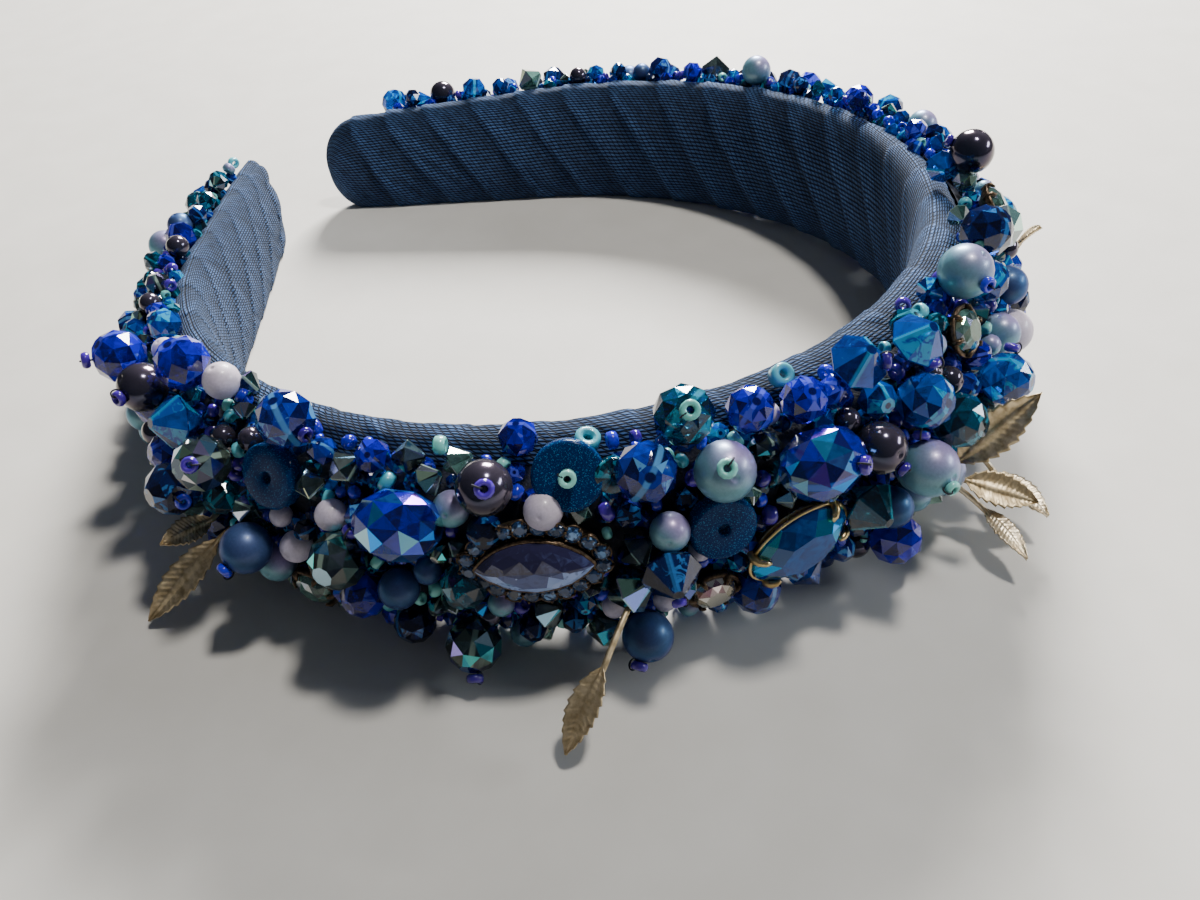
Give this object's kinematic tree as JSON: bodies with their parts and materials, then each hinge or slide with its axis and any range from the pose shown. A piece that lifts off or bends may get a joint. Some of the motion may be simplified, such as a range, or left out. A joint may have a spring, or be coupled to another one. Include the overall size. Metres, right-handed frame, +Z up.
{
  "type": "crystal headband",
  "caption": "Padded horseshoe headband wound with ribbon, its outer side sewn with crystals, pearls, stones in settings and metal leaves.",
  "frame": {"origin": "middle of the whole headband's footprint, on the surface it lies on", "axes": "+Z up from the surface, the crown of the band towards -Y and its two tips towards +Y, +X towards the right-hand tip"},
  "size_m": [0.157, 0.1628, 0.0398],
  "materials": {
    "ribbon": "matte denim-blue woven ribbon",
    "bed": "glossy small glass beads and crystals on dark thread",
    "mist_pearl": "iridescent lilac-blue pearl",
    "graphite_pearl": "dark metallic pearl",
    "night_pearl": "satin dark blue pearl",
    "blush_pearl": "pinkish white pearl",
    "cut_glass": "faceted blue crystal",
    "smoke_glass": "faceted smoky crystal with iridescent coating",
    "teal_glass": "faceted teal crystal",
    "shell_disc": "glittering dark disc",
    "marquise": "faceted violet-blue stone in a ring of small stones",
    "claw_stone": "faceted sea-blue stone in gold claws",
    "cup_stone": "faceted pale stone in a bronze cup",
    "leaf_metal": "antique gold-bronze metal leaf"
  },
  "bodies": {
    "root": {"padded_band": "ribbon", "bead_field_left": "bed", "bead_field_right": "bed", "mist_pearl_front": "mist_pearl", "mist_pearl_side": "mist_pearl", "mist_pearl_right": "mist_pearl", "graphite_pearl_front": "graphite_pearl", "graphite_pearl_side": "graphite_pearl", "graphite_pearl_left": "graphite_pearl", "graphite_pearl_back": "graphite_pearl", "night_pearl_left": "night_pearl", "night_pearl_front": "night_pearl", "blush_pearl_left": "blush_pearl", "cobalt_round_left": "cut_glass", "cobalt_round_side": "cut_glass", "sapphire_round_left": "cut_glass", "sapphire_round_front": "cut_glass", "teal_round_front": "teal_glass", "smoke_round_left": "smoke_glass", "ink_round_left": "cut_glass", "smoke_round_front": "smoke_glass", "smoke_round_low": "smoke_glass", "cobalt_round_low": "cut_glass", "azure_round_side": "cut_glass", "azure_round_right": "cut_glass", "teal_round_right": "teal_glass", "navy_round_right": "cut_glass", "azure_round_back": "cut_glass", "cobalt_round_back": "cut_glass", "cobalt_bead_back": "cut_glass", "cobalt_bead_top": "cut_glass", "sky_oval_front": "smoke_glass", "sky_oval_side": "cut_glass", "navy_bicone_front": "cut_glass", "azure_bicone_top": "cut_glass", "azure_bicone_right": "cut_glass", "azure_bicone_left": "cut_glass", "teal_bicone_side": "teal_glass", "teal_disc_front": "shell_disc", "ink_disc_left": "shell_disc", "navy_disc_front": "shell_disc", "marquise_halo": "marquise", "claw_oval": "claw_stone", "clear_stone_cup": "cup_stone", "mint_stone_cup_right": "cup_stone", "mint_stone_cup_back": "cup_stone", "mint_stone_cup_left": "cup_stone", "leaf_left_long": "leaf_metal", "leaf_left_short": "leaf_metal", "leaf_front": "leaf_metal", "leaf_right_upper": "leaf_metal", "leaf_right_middle": "leaf_metal", "leaf_right_pale": "leaf_metal", "leaf_right_lower": "leaf_metal", "leaf_right_back": "leaf_metal"}
  },
  "joints": []
}
